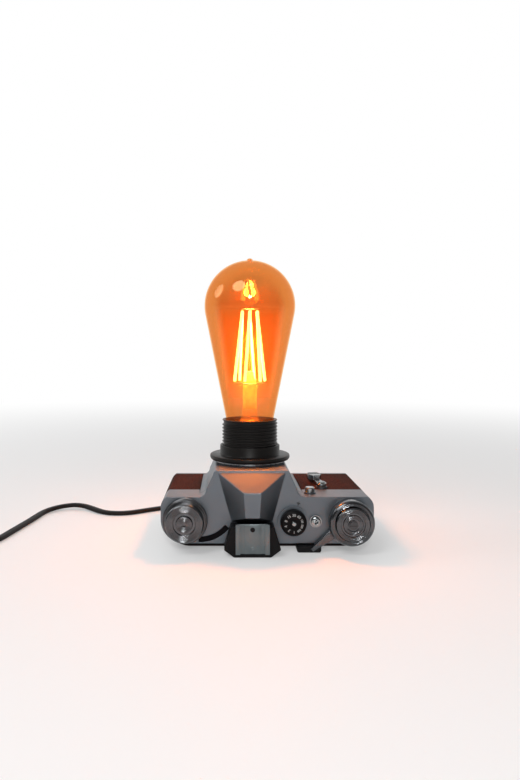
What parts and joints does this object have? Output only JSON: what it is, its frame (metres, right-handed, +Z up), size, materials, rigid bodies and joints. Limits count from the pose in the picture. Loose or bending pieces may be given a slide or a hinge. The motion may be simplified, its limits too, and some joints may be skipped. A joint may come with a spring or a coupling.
{
  "type": "camera table lamp",
  "caption": "Table lamp made from an old film camera lying on its back, with a threaded lampholder in the lens mount, an amber filament bulb and a flat cord with switch and plug.",
  "frame": {"origin": "middle of the lamp on the table it stands on, without the cord", "axes": "+X to the camera's wind side, +Y from the camera's top plate to its base, +Z up along the bulb"},
  "size_m": [0.4273, 0.1268, 0.195],
  "materials": {
    "black_paint": "satin black enamel",
    "satin_chrome": "satin chrome, finely blasted",
    "bright_chrome": "bright chrome",
    "steel": "turned steel",
    "turned_aluminium": "lathe-turned, with fine rings",
    "leatherette": "pebbled imitation leather",
    "dial_black": "black anodised with white numerals",
    "black_plastic": "moulded, semi-gloss",
    "lampholder_black": "moulded, glossy",
    "rubber": "matt rubber",
    "cord_black": "smooth flexible sheath",
    "wire_sheath": "smooth insulation",
    "brass": "bright brass",
    "ceramic": "glazed",
    "bulb_cap_metal": "pressed sheet",
    "amber_glass": "clear amber",
    "stem_glass": "clear",
    "clear_glass": "clear",
    "window_glass": "dark window",
    "filament": "glowing phosphor"
  },
  "bodies": {
    "camera": {"body_casting": "black_paint", "base_plate": "satin_chrome", "tripod_bush": "steel", "base_screws": "steel", "top_plate": "satin_chrome", "pentaprism": "clear_glass", "front_housing": "satin_chrome", "lens_mount_ring": "steel", "leatherette_left": "leatherette", "leatherette_right": "leatherette", "eyepiece_frame": "black_paint", "eyepiece_lens": "clear_glass", "shoe_adapter": "black_paint", "accessory_shoe": "bright_chrome", "shoe_screws": "black_paint", "meter_window": "window_glass", "rewind_bush": "steel", "speed_dial_collar": "satin_chrome", "release_collar": "bright_chrome", "wind_post": "steel", "timer_boss": "satin_chrome", "timer_collar": "satin_chrome", "hinge_pin": "steel", "lampholder_base": "lampholder_black", "lampholder_skirt": "lampholder_black", "shade_ring": "lampholder_black", "contact_insert": "ceramic", "screw_shell": "brass", "centre_contact": "brass", "terminal_screws": "brass", "wires": "wire_sheath", "wire_clamp": "black_plastic", "cord_grommet": "rubber", "cord_lead": "cord_black", "cord_coil": "cord_black", "inline_switch": "black_plastic", "plug": "black_plastic"},
    "back_door": {"back_door": "black_paint", "door_cover": "leatherette", "pressure_plate": "black_paint", "door_feet": "rubber"},
    "door_latch": {"door_latch": "satin_chrome"},
    "rewind_post": {"rewind_post": "steel"},
    "rewind_knob": {"rewind_knob": "turned_aluminium"},
    "film_speed_ring": {"film_speed_ring": "turned_aluminium"},
    "speed_dial": {"speed_dial": "dial_black"},
    "release_button": {"release_button": "bright_chrome"},
    "wind_lever": {"wind_lever": "turned_aluminium", "lever_grip": "black_plastic"},
    "counter_disc": {"counter_disc": "turned_aluminium"},
    "timer_lever": {"timer_lever": "bright_chrome"},
    "timer_button": {"timer_button": "bright_chrome"},
    "meter_needle": {"meter_needle": "brass"},
    "bulb_contact": {"bulb_contact": "steel"},
    "bulb": {"bulb_cap": "bulb_cap_metal", "bulb_glass": "amber_glass", "bulb_stem": "stem_glass", "filaments": "filament", "filament_wires": "steel"},
    "switch_rocker": {"switch_rocker": "black_plastic"}
  },
  "joints": [
    {"name": "door_hinge", "type": "hinge", "parent": "camera", "child": "back_door", "pos_m": [0.057, 0, 0.0042], "axis": [0, -1, 0], "range_deg": [0, 120]},
    {"name": "latch_slide", "type": "slide", "parent": "camera", "child": "door_latch", "axis": [0, 1, 0], "range_m": [0, 0.004], "stiffness_N_per_m": 150, "springref_m": -0.002},
    {"name": "rewind_pull", "type": "slide", "parent": "camera", "child": "rewind_post", "axis": [0, -1, 0], "range_m": [0, 0.008]},
    {"name": "rewind_turn", "type": "hinge", "parent": "rewind_post", "child": "rewind_knob", "pos_m": [-0.053, -0.04, 0.0205], "axis": [0, -1, 0], "continuous": true},
    {"name": "film_speed_turn", "type": "hinge", "parent": "camera", "child": "film_speed_ring", "pos_m": [-0.053, -0.035, 0.0205], "axis": [0, -1, 0], "continuous": true},
    {"name": "speed_dial_turn", "type": "hinge", "parent": "camera", "child": "speed_dial", "pos_m": [0.0166, -0.036, 0.0196], "axis": [0, -1, 0], "range_deg": [-120, 150]},
    {"name": "release_press", "type": "slide", "parent": "camera", "child": "release_button", "axis": [0, 1, 0], "range_m": [0, 0.0025], "stiffness_N_per_m": 600, "springref_m": -0.003},
    {"name": "wind_stroke", "type": "hinge", "parent": "camera", "child": "wind_lever", "pos_m": [0.053, -0.038, 0.0205], "axis": [0, -1, 0], "range_deg": [0, 180], "stiffness_Nm_per_rad": 0.03, "springref_deg": -34.38},
    {"name": "counter_turn", "type": "hinge", "parent": "wind_lever", "child": "counter_disc", "pos_m": [0.053, -0.043, 0.0205], "axis": [0, -1, 0], "continuous": true},
    {"name": "timer_swing", "type": "hinge", "parent": "camera", "child": "timer_lever", "pos_m": [0.039, -0.0053, 0.038], "axis": [0, 0, -1], "range_deg": [0, 150]},
    {"name": "timer_press", "type": "slide", "parent": "camera", "child": "timer_button", "axis": [0, 0, -1], "range_m": [0, 0.0015], "stiffness_N_per_m": 500, "springref_m": -0.002},
    {"name": "needle_swing", "type": "hinge", "parent": "camera", "child": "meter_needle", "pos_m": [-0.0435, -0.029, 0.0306], "axis": [0, -1, 0], "range_deg": [-18, 18]},
    {"name": "bulb_lift", "type": "slide", "parent": "camera", "child": "bulb_contact", "axis": [0, 0, 1], "range_m": [0, 0.01815]},
    {"name": "bulb_turn", "type": "hinge", "parent": "bulb_contact", "child": "bulb", "pos_m": [-0.01, 0.006, 0.067], "axis": [0, 0, 1], "range_deg": [0, 1800]},
    {"name": "rocker_tilt", "type": "hinge", "parent": "camera", "child": "switch_rocker", "pos_m": [-0.252, -0.034, 0.011], "axis": [0, 1, 0], "range_deg": [0, 16]}
  ],
  "couplings": [
    {"joint": "bulb_lift", "follows": "bulb_turn", "m_per_rad": 0.00057757}
  ]
}
